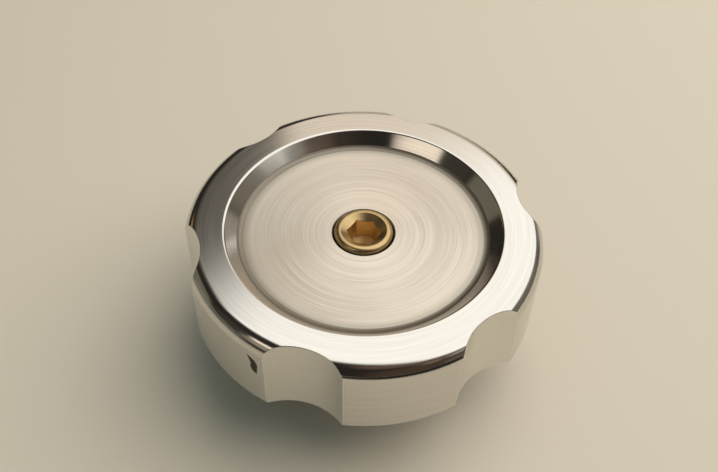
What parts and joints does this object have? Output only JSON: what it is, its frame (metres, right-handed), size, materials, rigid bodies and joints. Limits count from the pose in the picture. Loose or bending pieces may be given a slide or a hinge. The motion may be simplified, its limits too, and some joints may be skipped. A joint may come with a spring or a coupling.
{
  "type": "oil filler cap",
  "caption": "Scalloped round knob with a dished top, held by a centre socket screw to a threaded plug with a rubber seal ring; closes an engine's oil filler neck.",
  "frame": {"origin": "middle of the plug's foot, on which the cap stands", "axes": "+Z along the cap's axis, from the plug's foot to the knob's top; +X through the middle of a scallop"},
  "size_m": [0.0586, 0.06, 0.0288],
  "materials": {
    "polished_aluminium": "polished outside, with a turned floor in the dish",
    "brass": "bright",
    "turned_aluminium": "as turned",
    "nitrile_rubber": "satin black"
  },
  "bodies": {
    "root": {"knob": "polished_aluminium", "cap_screw": "brass", "threaded_plug": "turned_aluminium", "seal_ring": "nitrile_rubber"}
  },
  "joints": []
}
